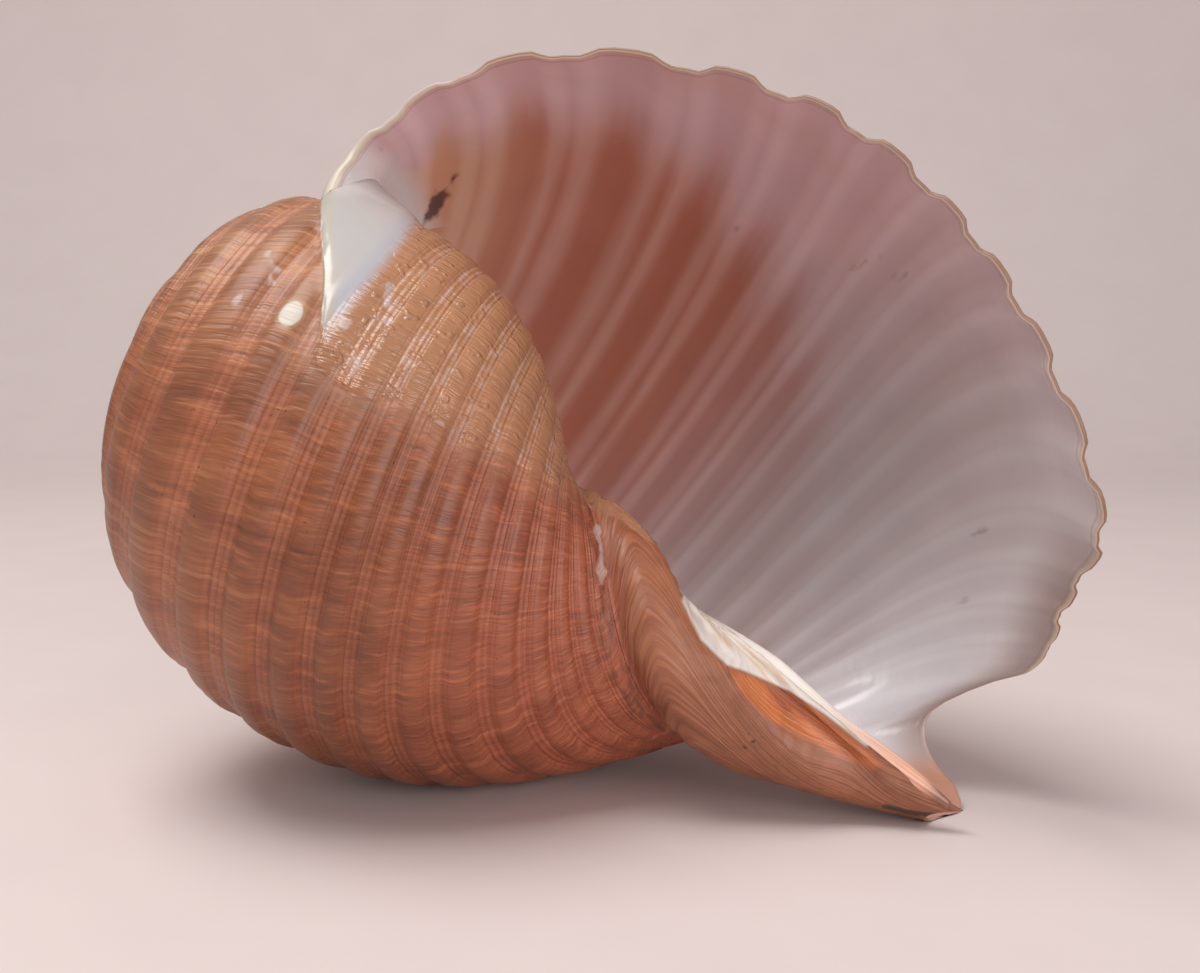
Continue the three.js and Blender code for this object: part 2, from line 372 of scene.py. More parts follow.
def outer_at(th, s):
    p = macro(th, s)
    n = normal(th, s)
    px, py = pixel(world(p))
    d = outer_relief(th, s, rib_ease(th, s, px, py))
    cl, cr = callus_field(px, py, th, s)
    cf = smooth(-0.10, 0.22, cl) * smooth(-0.5, 2.2, cr)
    d = d * (1 - 0.85 * smooth(-0.10, 0.22, cl) * smooth(-0.8, 1.2, cr)) + 0.0056 * cf
    mouth_side = (s > 0.78) & (th > -1.6 * PI) & (th < -0.7 * PI)
    ch = np.where(mouth_side, poly_distance(px, py, CHINK) / 10.0, -9.0)
    wb = np.where(mouth_side, poly_distance(px, py, WHITE_BAND) / 10.0, -9.0)
    d = d - 0.0030 * smooth(-0.3, 1.2, ch) + 0.0016 * smooth(-0.3, 1.2, wb)
    free = (px - np.interp(py, CAL_LEFT[:, 1], CAL_LEFT[:, 0])) / 10.0
    return p + n * d[..., None], n, smooth(-0.10, 0.22, free) * (th > -2.05 * PI) * (th < -1.40 * PI)


def inner_at(th, s):
    p = macro(th, s)
    n = normal(th, s)
    return p + n * (inner_relief(th, s) - wall(th, s))[..., None], n


def find_crease():
    """The line where the lip's inner face meets the body, with the way out of that corner."""
    g = np.linspace(-0.95, -0.002, 70)
    si = np.linspace(0.0105, 0.17, 80)
    gg, sg = np.meshgrid(g, si, indexing="ij")
    tg = lip_at(sg) + gg
    p, n = inner_at(tg, sg)
    to, so = np.meshgrid(np.linspace(-2.25 * PI, -1.50 * PI, 150), np.linspace(0.14, 0.40, 120), indexing="ij")
    q, nq, _ = outer_at(to, so)
    q, nq, so = q.reshape(-1, 3), nq.reshape(-1, 3), so.ravel()
    qq = (q * q).sum(1)
    out = []
    for i in range(len(g)):
        k = np.argmin(qq[None] - 2 * p[i] @ q.T, axis=1)
        lift = ((p[i] - q[k]) * nq[k]).sum(1)
        low = np.where(lift < 0)[0]
        if len(low) == 0 or low[-1] == len(si) - 1:
            continue
        j = low[-1]
        f = lift[j] / (lift[j] - lift[j + 1])
        c = p[i, j] * (1 - f) + p[i, j + 1] * f
        b = nq[k[j]] - n[i, j]
        sharp = math.sqrt(max(0.0, 1 - (np.linalg.norm(b) / 2) ** 2))
        out.append(np.r_[c, b / np.linalg.norm(b), si[j] + f * (si[j + 1] - si[j]), so[k[j]], g[i], sharp, nq[k[j]], -n[i, j]])
    out = np.array(out)
    fine = np.linspace(0, len(out) - 1, 400)
    return np.stack([np.interp(fine, np.arange(len(out)), out[:, c]) for c in range(out.shape[1])], 1)


CREASE = find_crease()


def near_crease(p):
    d2 = (p * p).sum(1)[:, None] - 2 * p @ CREASE[:, :3].T + (CREASE[:, :3] ** 2).sum(1)[None]
    k = np.argmin(d2, axis=1)
    return k, np.sqrt(np.maximum(d2[np.arange(len(p)), k], 0))


def fillet(p, s, outer, mask):
    """Rounds the corner along the crease; behind it the surface runs straight on, out of sight."""
    k, d = near_crease(p)
    g = CREASE[k, 8]
    reach = 0.105
    face = CREASE[k, 13:16] if outer else CREASE[k, 10:13]
    shown = ((p - CREASE[k, :3]) * face).sum(1) > 0
    bend = np.where(shown, np.clip(1 - d / reach, 0, 1) ** 2, 1 + 2 * np.minimum(d, 0.02) / reach)
    lift = 0.50 * CREASE[k, 9] * reach * smooth(-0.80, -0.46, g) * (0.40 + 0.60 * smooth(0.02, -0.36, g)) * bend
    at = CREASE[k, 7] if outer else CREASE[k, 6]
    fade = smooth(-0.016, -0.006, s - at) if outer else smooth(-0.024, -0.012, s - at)
    return p + CREASE[k, 3:6] * (lift * fade * mask)[:, None]


def outer_row(g, cols):
    th = lip_at(cols) + g + lip_wave(g, cols)
    p, n, mask = outer_at(th, cols)
    if th.min() < -1.3 * PI and th.max() > -2.1 * PI:
        p = fillet(p, cols, True, mask)
    return p, th, n


def inner_row(g, cols):
    th = lip_at(cols) + g + lip_wave(g, cols)
    p, n = inner_at(th, cols)
    if g > -1.2:
        p = fillet(p, cols, False, 1 - smooth(0.14, 0.20, cols))
    return p, th, n


rows_o = []
for g in g_out:
    cols = FULL if g >= -2.12 * PI - 1e-6 else OLD
    p, th, n = outer_row(g, cols)
    rows_o.append((m.add(world(p), th, cols, 0.0), cols))
for (a, pa), (b, pb) in zip(rows_o[:-1], rows_o[1:]):
    m.stitch(a, pa, b, pb)
n_out_q, n_out_t = len(m.quad), len(m.tri)

# the rounded lip edge
po, th0, nrm = outer_row(0.0, FULL)
pi_, _, _ = inner_row(0.0, FULL)
fwd = macro(th0 + 4e-3, FULL) - macro(th0 - 4e-3, FULL)
fwd /= np.linalg.norm(fwd, axis=1, keepdims=True)
mid, half = (po + pi_) / 2, (po - pi_) / 2
hw = np.linalg.norm(half, axis=1, keepdims=True)
prev, rim = rows_o[-1], []
for k in range(1, 5):
    a = PI * k / 5
    q = mid + half * math.cos(a) + fwd * hw * math.sin(a)
    row = (m.add(world(q), th0, FULL, 0.2 * k), FULL)
    m.stitch(prev[0], prev[1], row[0], row[1])
    rim.append(row)
    prev = row
n_rim_q, n_rim_t = len(m.quad), len(m.tri)

rows_i = []
for g in g_inn[::-1]:
    cols = FULL if g > -0.02 * PI else (INN if g >= -2.3 * PI - 1e-6 else INN_OLD)
    p, th, n = inner_row(g, cols)
    rows_i.append((m.add(world(p), th, cols, 1.0), cols))
for (a, pa), (b, pb) in zip([prev] + rows_i[:-1], rows_i):
    m.stitch(a, pa, b, pb)
rows_i = rows_i[::-1]

# close the seam edge, the columella edge and the first turn
o_g = np.r_[g_out, [1e-4, 2e-4, 3e-4, 4e-4]]
for col in (0, -1):
    o = np.array([r[0][col] for r in rows_o] + [r[0][col] for r in rim])
    i = np.array([r[0][col] for r in rows_i])
    if col == 0:
        m.stitch(o, o_g, i, g_inn)
    else:
        m.stitch(i, g_inn, o, o_g)
m.stitch(rows_i[0][0], rows_i[0][1], rows_o[0][0], rows_o[0][1])

n_wall = m.n

# columella: a slim twisted pillar on the axis, ending in the inner lip
PILLAR = np.array([
    [0.28, 0.012, 0.000], [0.45, 0.022, 0.000], [0.60, 0.024, 0.000], [0.70, 0.0245, 0.000], [0.78, 0.0235, 0.000],
    [0.85, 0.0205, 0.000], [0.90, 0.016, 0.004], [0.95, 0.0125, 0.010], [1.00, 0.0115, 0.013], [1.05, 0.0095, 0.017],
    [1.085, 0.0055, 0.020]])
ph = np.r_[np.linspace(0.28, 1.06, 84), np.linspace(1.064, 1.085, 6)]
pr = pchip(PILLAR[:, 0], PILLAR[:, 1])(ph)
pl = pchip(PILLAR[:, 0], PILLAR[:, 2])(ph)
lean = 1.118 * PI
NS = 30
ang = np.arange(NS) * 2 * PI / NS
ring_prev = None
first = None
for h, r, l in zip(ph, pr, pl):
    rr = r * (1 + 0.10 * np.cos(2 * (ang - 7.0 * h)) + 0.03 * np.sin(5 * (ang - 9 * h)))
    p = np.stack([l * math.cos(lean) + rr * np.cos(ang), l * math.sin(lean) + rr * np.sin(ang), np.full(NS, h)], -1)
    k = m.add(world(p), ang, 2.0 + h, 2.0)
    if ring_prev is not None:
        a, b = np.r_[ring_prev, ring_prev[0]], np.r_[k, k[0]]
        m.quad.append(np.stack([a[:-1], a[1:], b[1:], b[:-1]], -1))
    else:
        first = k
    ring_prev = k
for ring, h, l, up in ((first, ph[0], pl[0], -1), (ring_prev, ph[-1], pl[-1], 1)):
    c = m.add(world(np.array([[l * math.cos(lean), l * math.sin(lean), h + 0.002 * up]])), np.array([0.0]), 2.0 + h, 2.0)[0]
    a, b = ring, np.roll(ring, -1)
    cc = np.full(NS, c)
    m.tri.append(np.stack([cc, a, b] if up > 0 else [cc, b, a], -1))

# the smooth first bead of the spire
NB, NL = 20, 12
bead_c, bead_r = np.array([0.0, 0.0, 0.0408]), 0.0130
lat_rows = []
for i in range(1, NL):
    a = PI * i / NL
    p = bead_c + bead_r * np.stack([math.sin(a) * np.cos(np.arange(NB) * 2 * PI / NB),
                                    math.sin(a) * np.sin(np.arange(NB) * 2 * PI / NB),
                                    np.full(NB, -math.cos(a))], -1)
    lat_rows.append(m.add(world(p), -9 * PI, 0.1, 3.0))
for a, b in zip(lat_rows[:-1], lat_rows[1:]):
    a2, b2 = np.r_[a, a[0]], np.r_[b, b[0]]
    m.quad.append(np.stack([a2[:-1], a2[1:], b2[1:], b2[:-1]], -1))
for ring, up in ((lat_rows[0], -1), (lat_rows[-1], 1)):
    c = m.add(world((bead_c + np.array([0, 0, bead_r * up]))[None]), np.array([-9 * PI]), 0.1, 3.0)[0]
    a, b = ring, np.roll(ring, -1)
    cc = np.full(NB, c)
    m.tri.append(np.stack([cc, a, b] if up > 0 else [cc, b, a], -1))

co = np.concatenate(m.co)
th = np.concatenate(m.th)
ss = np.concatenate(m.s)
side = np.concatenate(m.side)
co[:, 2] = np.maximum(co[:, 2], 0.0002)
quads = np.concatenate(m.quad)
tris = np.concatenate(m.tri)
loops = np.concatenate([quads.ravel(), tris.ravel()]).astype(np.int32)
starts = np.concatenate([np.arange(len(quads)) * 4, len(quads) * 4 + np.arange(len(tris)) * 3]).astype(np.int32)
totals = np.concatenate([np.full(len(quads), 4), np.full(len(tris), 3)]).astype(np.int32)
print("shell triangles", len(quads) * 2 + len(tris), "vertices", len(co))

mesh = bpy.data.meshes.new("shell_skin")
mesh.vertices.add(len(co))
mesh.vertices.foreach_set("co", co.astype(np.float32).ravel())
mesh.loops.add(len(loops))
mesh.loops.foreach_set("vertex_index", loops)
mesh.polygons.add(len(starts))
mesh.polygons.foreach_set("loop_start", starts)
mesh.polygons.foreach_set("loop_total", totals)
mesh.update(calc_edges=True)
mesh.validate()
mesh.polygons.foreach_set("use_smooth", np.ones(len(mesh.polygons), bool))

# ---------------------------------------------------------------- attributes
wallv = side <= 1.0
scl = np.where(wallv, np.clip(ss, 0, S1), 0.5)
back = np.where(wallv, (lip_at(scl) - th), 1.0)          # angle behind the lip
gl = np.where(wallv, th - lag_at(scl), np.where(side > 2.5, -9 * PI, 0.0))   # growth-line coordinate
ribc = np.where(wallv, rib_phase(np.clip(scl, GROOVES[0], GROOVES[-1])), 0.5)
px, py = pixel(co)


def attr(name, x, y, z):
    a = mesh.attributes.new(name, "FLOAT_VECTOR", "POINT")
    a.data.foreach_set("vector", np.stack([x, y, z], -1).astype(np.float32).ravel())


attr("grow", gl, ribc, np.where(wallv, scl, ss))
attr("edge", back, side, th)


def oval(cx, cy, a, b, turn=0.0):
    """Distance inside a spot, positive within."""
    c, s = math.cos(math.radians(turn)), math.sin(math.radians(turn))
    u, v = (px - cx) * c + (py - cy) * s, -(px - cx) * s + (py - cy) * c
    return (1 - np.hypot(u / a, v / b)) * min(a, b) / 10.0


def stroke(pts, w):
    best = np.full(px.shape, 1e9)
    for (x0, y0), (x1, y1) in zip(pts[:-1], pts[1:]):
        dx, dy = x1 - x0, y1 - y0
        t = np.clip(((px - x0) * dx + (py - y0) * dy) / (dx * dx + dy * dy), 0, 1)
        best = np.minimum(best, np.hypot(px - x0 - t * dx, py - y0 - t * dy))
    return (w - best) / 10.0


# where things lie, in the photograph's frame, kept to the surface they lie on
outside = (side < 0.1)
inside = (side > 0.9) & wallv
cal_l, cal_r = callus_field(px, py, np.where(outside, th, 0.0), scl)
callus_i = (side > 0.05) & wallv & (scl < 0.14) & (back < 0.9)
WHITE_IN = [(316, 204), (320, 180), (340, 150), (368, 152), (396, 168), (414, 192), (426, 220), (434, 236), (330, 262)]
white_in = poly_distance(px, py, WHITE_IN) / 10.0
cal = np.where(callus_i, white_in, -9.0)
attr("callus", cal_l, cal_r, outside & (th > -1.95 * PI) & (th < -0.6 * PI))
attr("frame", px / 10, py / 10, inside & (back < 2.2))
glaze = np.where(outside & (th > -2.1 * PI) & (th < -1.38 * PI) & (scl > 0.18) & (scl < 0.78),
                 np.clip(poly_distance(px, py, GLAZE) / 20.0, -2, 2), -2.0)
glaze = np.where(outside & (th < -1.66 * PI) & (th > -2.6 * PI) & (scl > 0.21), 2.0, glaze)
mouth_side = wallv & (side < 0.9) & (scl > 0.78) & (th > -1.6 * PI) & (th < -0.7 * PI)
chink = np.where(mouth_side, poly_distance(px, py, CHINK) / 10.0, -9.0)
attr("place", cal, glaze, chink)
corner = np.full(len(co), 9.0)
near = np.where((outside & (th > -2.1 * PI) & (th < -1.4 * PI) & (scl > 0.17) & (scl < 0.42)) | (callus_i & (side > 0.9)))[0]
corner[near] = near_crease(((co[near] - SHIFT) @ DIR.T) / SIZE)[1]
attr("corner", corner, corner, corner)

wband = np.where(mouth_side, poly_distance(px, py, WHITE_BAND) / 10.0, -9.0)
wband = np.where(wallv & (side < 0.9) & (th <= -1.52 * PI) & (scl > 0.78), np.clip((scl - 0.81) * 60, -2, 2), wband)
front = outside & (th > -1.95 * PI) & (th < -0.6 * PI)
# pale chips and the neck-groove streak; the thin oval at 239, 298 is a painted highlight, a glint
pale = np.max([oval(270, 256, 8, 4, -30), oval(277, 268, 9, 5, -40), oval(283, 260, 5, 4),
               oval(239, 298, 3.5, 10, 25), oval(273, 284, 7, 5), oval(345, 323, 9, 7), oval(391, 285, 9, 5),
               oval(386, 302, 6, 9, 20), oval(388, 320, 6, 5), oval(357, 360, 6, 8, 10),
               stroke([(598, 526), (601, 555), (603, 582)], 4.4)], axis=0)
pale = np.where(front & (scl < 0.75), np.clip(pale, -3, 3), -3.0)
dark_o = np.max([oval(752, 742, 3, 2.5), oval(745, 747, 2.5, 2.5), oval(760, 737, 3, 2), oval(757, 751, 2.5, 2),
                 # the last stroke darkens the tip's lower edge, along the floor
                 oval(766, 741, 2, 2), oval(749, 733, 2, 2), stroke([(884, 806), (912, 813), (944, 816)], 2.6)], axis=0)
dark_i = np.max([oval(616, 141, 5, 3, 15),
                 oval(737, 229, 5, 3), oval(898, 277, 10, 4, -35), oval(866, 262, 10, 2, -25), oval(981, 529, 9, 3.5, -25),
                 oval(965, 600, 6, 2, -20), oval(381, 147, 3, 3)], axis=0)
dark = np.where(front, np.clip(dark_o, -3, 3), np.where(inside & (back < 2.2), np.clip(dark_i, -3, 3), -3.0))
attr("marks", pale, dark, wband)

# interior zones: how far into the orange deep, and the white porcelain side
deep_edge = np.interp(scl, [0.0, 0.09, 0.17, 0.22, 0.27, 0.32, 0.39, 0.43, 0.48, 0.52, 0.60, 0.70],
                      np.array([0.13, 0.11, 0.09, 0.10, 0.135, 0.19, 0.27, 0.315, 0.37, 0.47, 0.62, 0.80]) * PI)
deep = np.clip((back - deep_edge) / 0.9, -1, 1)
white = smooth(0.36, 0.60, scl + 0.05 * np.clip(back, 0, 2))
band = smooth(0.705, 0.73, scl) * (1 - smooth(0.83, 0.86, scl))
attr("zone", np.where(inside, deep, -1), np.where(inside, white, 0), np.where(outside, smooth(0.705, 0.73, scl), 0))

# ---------------------------------------------------------------- materials
def srgb(r, g, b):
    def f(c):
        c /= 255.0
        return c / 12.92 if c <= 0.04045 else ((c + 0.055) / 1.055) ** 2.4
    return (f(r), f(g), f(b), 1.0)


class Nodes:
    """A little shorthand for building a node tree."""

    def __init__(self, mat):
        mat.use_nodes = True
        self.t = mat.node_tree
        self.t.nodes.clear()
        self.x = 0

    def node(self, kind, **props):
        n = self.t.nodes.new(kind)
        self.x += 1
        n.location = (180 * (self.x % 12), -200 * (self.x // 12))
        for k, v in props.items():
            setattr(n, k, v)
        return n

    def put(self, sock, v):
        if hasattr(v, "is_output"):
            self.t.links.new(v, sock)
        else:
            sock.default_value = v

    def math(self, op, a, b=0.0, c=0.0):
        n = self.node("ShaderNodeMath", operation=op)
        self.put(n.inputs[0], a)
        self.put(n.inputs[1], b)
        self.put(n.inputs[2], c)
        return n.outputs[0]

    def mul(self, *v):
        out = v[0]
        for w in v[1:]:
            out = self.math("MULTIPLY", out, w)
        return out

    def add(self, *v):
        out = v[0]
        for w in v[1:]:
            out = self.math("ADD", out, w)
        return out

    def inv(self, v):
        return self.math("SUBTRACT", 1.0, v)

    def step(self, x, a, b):
        n = self.node("ShaderNodeMapRange", interpolation_type="SMOOTHSTEP")
        self.put(n.inputs["Value"], x)
        lo, hi = (a, b) if a < b else (b, a)
        n.inputs["From Min"].default_value = lo
        n.inputs["From Max"].default_value = hi
        n.inputs["To Min"].default_value = 0.0 if a < b else 1.0
        n.inputs["To Max"].default_value = 1.0 if a < b else 0.0
        return n.outputs["Result"]

    def span(self, x, a, b, lo, hi):
        n = self.node("ShaderNodeMapRange")
        self.put(n.inputs["Value"], x)
        n.inputs["From Min"].default_value = a
        n.inputs["From Max"].default_value = b
        n.inputs["To Min"].default_value = lo
        n.inputs["To Max"].default_value = hi
        return n.outputs["Result"]

    def mix(self, f, a, b, how="MIX"):
        n = self.node("ShaderNodeMix", data_type="RGBA", blend_type=how)
        self.put(n.inputs[0], f)
        self.put(n.inputs[6], a)
        self.put(n.inputs[7], b)
        return n.outputs[2]

    def attribute(self, name):
        n = self.node("ShaderNodeAttribute", attribute_name=name)
        s = self.node("ShaderNodeSeparateXYZ")
        self.t.links.new(n.outputs["Vector"], s.inputs[0])
        return s.outputs[0], s.outputs[1], s.outputs[2]

    def vec(self, x, y, z):
        n = self.node("ShaderNodeCombineXYZ")
        self.put(n.inputs[0], x)
        self.put(n.inputs[1], y)
        self.put(n.inputs[2], z)
        return n.outputs[0]

    def noise(self, v, scale, detail=2.0, rough=0.5):
        n = self.node("ShaderNodeTexNoise")
        self.put(n.inputs["Vector"], v)
        n.inputs["Scale"].default_value = scale
        n.inputs["Detail"].default_value = detail
        n.inputs["Roughness"].default_value = rough
        return n.outputs["Fac"]

    def bell(self, x, at, w):
        """1 at x = at, falling to 0 within w."""
        return self.step(self.math("ABSOLUTE", self.math("SUBTRACT", x, at)), w, 0.0)

    def tint(self, col, f, lo, hi):
        v = self.span(f, 0.25, 0.75, lo, hi)
        return self.mix(1.0, col, self.vec(v, v, v), "MULTIPLY")

    def oval(self, fx, fy, cx, cy, a, b, turn):
        """Distance inside a spot in the photograph's frame, positive within."""
        c, s = math.cos(math.radians(turn)), math.sin(math.radians(turn))
        dx, dy = self.math("SUBTRACT", fx, cx / 10), self.math("SUBTRACT", fy, cy / 10)
        u = self.mul(self.add(self.mul(dx, c), self.mul(dy, s)), 10 / a)
        v = self.mul(self.add(self.mul(dx, -s), self.mul(dy, c)), 10 / b)
        r = self.math("SQRT", self.add(self.mul(u, u), self.mul(v, v)))
        return self.mul(self.inv(r), min(a, b) / 10)

    def ragged(self, d, pos, scale, amount):
        """A distance with a frayed edge."""
        return self.add(d, self.mul(self.math("SUBTRACT", self.noise(pos, scale, 1.0), 0.5), amount))


def outside_material():
    mat = bpy.data.materials.new("shell_outside")
    t = Nodes(mat)
    gl0, ribc, s = t.attribute("grow")
    back, side, th = t.attribute("edge")
    cal, glaze, chink = t.attribute("place")
    pale_marks_glint_d, dark_d, wband = t.attribute("marks")
    cal_l, cal_r, front = t.attribute("callus")
    fx, fy, _ = t.attribute("frame")
    corner, _, _ = t.attribute("corner")
    deep, white, band = t.attribute("zone")
    obj = t.node("ShaderNodeTexCoord").outputs["Object"]

    # growth lines waver a little
    gl = t.add(gl0, t.mul(t.math("SUBTRACT", t.noise(t.vec(t.mul(gl0, 3.0), t.mul(ribc, 1.3), 0.0), 1.0, 0.0), 0.5), 0.03))
    # 0 in the groove, 0.5 on the rib
    x = t.math("ABSOLUTE", t.math("SUBTRACT", t.math("FRACT", t.add(ribc, 0.5)), 0.5))
    gap = t.step(x, 0.33, 0.13)

    rib_id = t.math("FLOOR", ribc)
    blocks = t.noise(t.vec(t.mul(gl, 4.5), t.mul(rib_id, 3.7), 0.0), 1.0, 2.0, 0.62)
    patch = t.noise(t.vec(t.mul(gl, 9.0), t.mul(ribc, 0.7), 3.0), 1.0, 2.0, 0.6)
    broad = t.noise(t.vec(t.mul(gl, 1.6), t.mul(ribc, 0.16), 7.0), 1.0, 1.0)
    cloud = t.noise(obj, 22.0, 1.0)
    rib_col = t.mix(t.step(blocks, 0.32, 0.70), srgb(166, 116, 84), srgb(142, 92, 66))
    rib_col = t.mix(t.mul(t.step(patch, 0.50, 0.72), 0.5), rib_col, srgb(180, 134, 100))
    gap_col = t.mix(t.step(patch, 0.35, 0.68), srgb(174, 114, 88), srgb(194, 138, 110))
    col = t.mix(t.mul(gap, t.span(s, 0.25, 0.50, 0.92, 0.42)), rib_col, gap_col)
    col = t.mix(t.mul(t.step(broad, 0.44, 0.62), 0.5), col, t.mix(0.5, col, srgb(192, 132, 92)))

    # paired fine riblets, pale, with thin red-brown lines beside them
    brk = t.noise(t.vec(t.mul(gl, 8.0), t.mul(ribc, 1.0), 1.0), 1.5, 2.0)
    pale = t.bell(x, 0.085, 0.05)
    thin = t.math("MAXIMUM", t.bell(x, 0.0, 0.05), t.math("MAXIMUM", t.mul(t.bell(x, 0.155, 0.045), 0.8), t.mul(t.bell(x, 0.255, 0.03), 0.5)))
    col = t.mix(t.mul(pale, t.span(brk, 0.3, 0.7, 0.0, 0.34)), col, srgb(206, 156, 122))
    col = t.mix(t.mul(thin, t.span(brk, 0.3, 0.7, 0.40, 0.08)), col, srgb(120, 62, 44))

    # fine striae across, with a few pale stops
    fine = t.noise(t.vec(t.mul(gl, 40.0), t.mul(ribc, 0.9), 0.0), 1.0, 2.0, 0.7)
    finer = t.noise(t.vec(t.mul(gl, 130.0), t.mul(ribc, 2.2), 5.0), 1.0, 1.0, 0.6)
    col = t.tint(col, fine, 0.74, 1.26)
    col = t.tint(col, finer, 0.84, 1.16)
    col = t.mix(t.mul(t.step(fine, 0.56, 0.70), 0.34), col, srgb(214, 166, 120))
    stops = t.noise(t.vec(t.mul(gl, 16.0), t.mul(ribc, 0.10), 8.0), 1.0, 2.0, 0.6)
    col = t.mix(t.mul(t.step(stops, 0.62, 0.69), 0.42), col, srgb(208, 160, 124))
    col = t.mix(t.mul(t.step(stops, 0.36, 0.28), 0.25), col, srgb(112, 62, 46))
    col = t.tint(col, cloud, 0.90, 1.10)
    specks = t.step(t.noise(obj, 900.0, 1.0), 0.74, 0.80)
    col = t.mix(t.mul(specks, 0.6), col, srgb(70, 44, 34))

    # tan where the shell is older, redder towards the front end; on the front turn also painted light: lighter and
    # greyer near the suture as a painted sheen, darker across the middle as painted shade
    red = t.step(gl, -1.56 * PI, -1.26 * PI)
    low = t.step(s, 0.42, 0.62)
    tone_and_light = t.mix(t.step(s, 0.26, 0.42), (0.77, 0.57, 0.45, 1.0), (0.66, 0.42, 0.29, 1.0))
    tone_and_light = t.mix(red, (0.83, 0.74, 0.61, 1.0), tone_and_light)
    tone_and_light = t.mix(t.mul(low, red), tone_and_light, (0.90, 0.53, 0.46, 1.0))
    col = t.mix(1.0, col, tone_and_light, "MULTIPLY")
    # dark wavy lines in the groove beside the siphonal band
    gro = t.mul(t.bell(s, 0.698, 0.030), t.step(t.noise(t.vec(t.mul(gl, 5.0), t.mul(s, 150.0), 6.0), 1.0, 2.0), 0.46, 0.62))
    col = t.mix(t.mul(gro, 0.55), col, srgb(84, 46, 34))

    # siphonal band: tan, with crescent growth lines
    cres = t.noise(t.vec(t.mul(gl, 13.0), t.mul(s, 9.0), 2.0), 1.0, 2.0, 0.6)
    cres2 = t.noise(t.vec(t.mul(gl, 48.0), t.mul(s, 14.0), 4.0), 1.0, 1.0, 0.6)
    blot = t.noise(obj, 55.0, 2.0)
    band_col = t.mix(t.step(cres, 0.28, 0.74), srgb(158, 104, 76), srgb(190, 138, 102))
    band_col = t.tint(band_col, cres2, 0.88, 1.12)
    band_col = t.tint(band_col, t.noise(obj, 320.0, 1.0), 0.90, 1.10)
    band_col = t.mix(t.mul(t.step(blot, 0.52, 0.70), 0.45), band_col, srgb(206, 154, 116))
    band_col = t.mix(t.mul(t.step(blot, 0.44, 0.30), 0.4), band_col, srgb(126, 72, 50))
    band_col = t.mix(1.0, band_col, (0.72, 0.53, 0.46, 1.0), "MULTIPLY")
    col = t.mix(band, col, band_col)

    # glossy clear glaze on the wall in front of the mouth
    gz_d = t.ragged(t.ragged(glaze, obj, 160.0, 0.9), obj, 50.0, 1.6)
    gz = t.step(gz_d, -0.10, 0.22)
    gz_col = t.mix(0.50, col, srgb(188, 142, 108))
    veil = t.mul(t.bell(x, 0.09, 0.13), t.step(t.noise(t.vec(t.mul(gl, 10.0), t.mul(ribc, 2.0), 9.0), 1.0, 2.0), 0.44, 0.62), 0.55)
    gz_col = t.mix(veil, gz_col, srgb(196, 164, 150))
    col = t.mix(t.step(gz_d, -2.0, 1.5), col, gz_col)
    rimline = t.mul(t.bell(gz_d, -0.04, 0.12), 0.22)
    col = t.mix(rimline, col, srgb(110, 62, 44))

    # orange chink beside the columella, and the white inner lip along it
    ch = t.step(t.ragged(chink, obj, 220.0, 0.5), -0.15, 0.55)
    streak = t.noise(t.vec(t.mul(th, 1.6), t.mul(s, 42.0), 0.0), 1.0, 2.0)
    ch_col = t.mix(t.step(streak, 0.34, 0.68), srgb(198, 112, 60), srgb(154, 76, 42))
    col = t.mix(t.mul(ch, 0.95), col, ch_col)
    wb = t.step(t.ragged(wband, obj, 90.0, 0.10), -0.12, 0.28)
    wb_col = t.mix(t.mul(t.step(streak, 0.50, 0.68), 0.55), srgb(222, 214, 206), srgb(208, 164, 110))
    col = t.mix(wb, col, wb_col)

    # white callus, cream along its raised left edge, thin and bluish where it runs out
    cw = t.mul(t.step(t.ragged(cal_l, obj, 330.0, 0.22), -0.10, 0.16), t.step(t.ragged(cal_r, obj, 200.0, 1.1), -0.5, 1.5))
    thin_w = t.step(cal_r, 3.2, 0.2)
    cal_col = t.mix(thin_w, srgb(181, 177, 175), srgb(173, 175, 185))
    # painted light: the callus white is lightened towards the crease so it meets the inner lip's white without the
    # change in shading showing
    cal_col = t.mix(t.step(corner, 0.040, 0.0), cal_col, srgb(200, 195, 194))
    cal_col = t.mix(t.mul(t.step(t.ragged(cal_l, obj, 150.0, 0.5), 1.7, 0.9), 0.8), cal_col, srgb(184, 176, 163))
    col = t.mix(cw, col, cal_col)

    # chips of white, with one painted highlight (a glint) among them, and dark specks
    chips_and_glint = t.step(t.ragged(pale_marks_glint_d, obj, 330.0, 1.5), 0.0, 0.35)
    col = t.mix(t.mul(chips_and_glint, 0.5), col, srgb(196, 184, 184))
    sp = t.ragged(t.oval(fx, fy, 291, 314, 15.5, 11.5, -38), obj, 260.0, 0.34)
    col = t.mix(t.mul(t.bell(sp, -0.04, 0.26), front, 0.5), col, srgb(176, 138, 98))
    pl = t.mul(t.step(sp, 0.0, 0.26), front)
    col = t.mix(t.mul(pl, 0.95), col, srgb(202, 194, 182))
    # dark specks, and a dark line along the tip's lower edge
    dk = t.step(t.ragged(dark_d, obj, 700.0, 0.3), -0.05, 0.15)
    col = t.mix(t.mul(dk, 0.85), col, srgb(48, 34, 30))

    # the last strip by the lip is worn pale
    lipb = t.mul(t.step(back, 0.06, 0.01), t.step(s, 0.70, 0.64))
    col = t.mix(t.mul(lipb, 0.35), col, srgb(200, 172, 138))

    shiny = t.math("MAXIMUM", t.math("MAXIMUM", gz, cw), t.math("MAXIMUM", t.mul(ch, 0.6), wb))
    matt = t.span(fine, 0.25, 0.75, 0.40, 0.54)
    rough = t.add(t.mul(matt, t.inv(shiny)), t.mul(shiny, 0.20))

